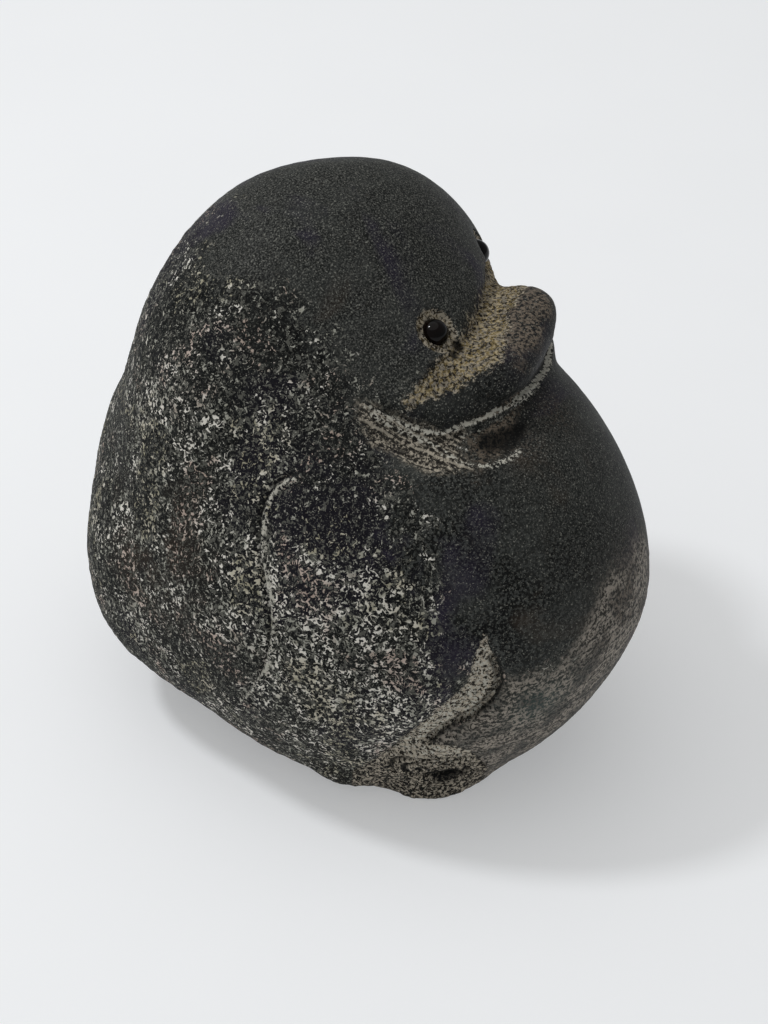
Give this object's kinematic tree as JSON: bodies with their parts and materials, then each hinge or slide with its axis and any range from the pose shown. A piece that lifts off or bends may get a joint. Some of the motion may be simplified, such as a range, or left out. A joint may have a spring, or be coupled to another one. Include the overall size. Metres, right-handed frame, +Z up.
{
  "type": "penguin sculpture",
  "caption": "Small squat penguin carved from a dark beach cobble, head turned to its left, with inset black glass bead eyes. Desk or shelf ornament.",
  "frame": {"origin": "on the flat underside, below the middle of the body", "axes": "+Z up, -Y is where the penguin's breast faces, +X is the penguin's left side"},
  "size_m": [0.0525, 0.0666, 0.0614],
  "materials": {
    "dark_stone": "fine-grained dark stone, honed on head and breast, with a rough speckled natural crust on back and flanks",
    "black_glass": "polished black glass"
  },
  "bodies": {
    "root": {"carved_stone": "dark_stone", "right_eye": "black_glass", "left_eye": "black_glass"}
  },
  "joints": []
}
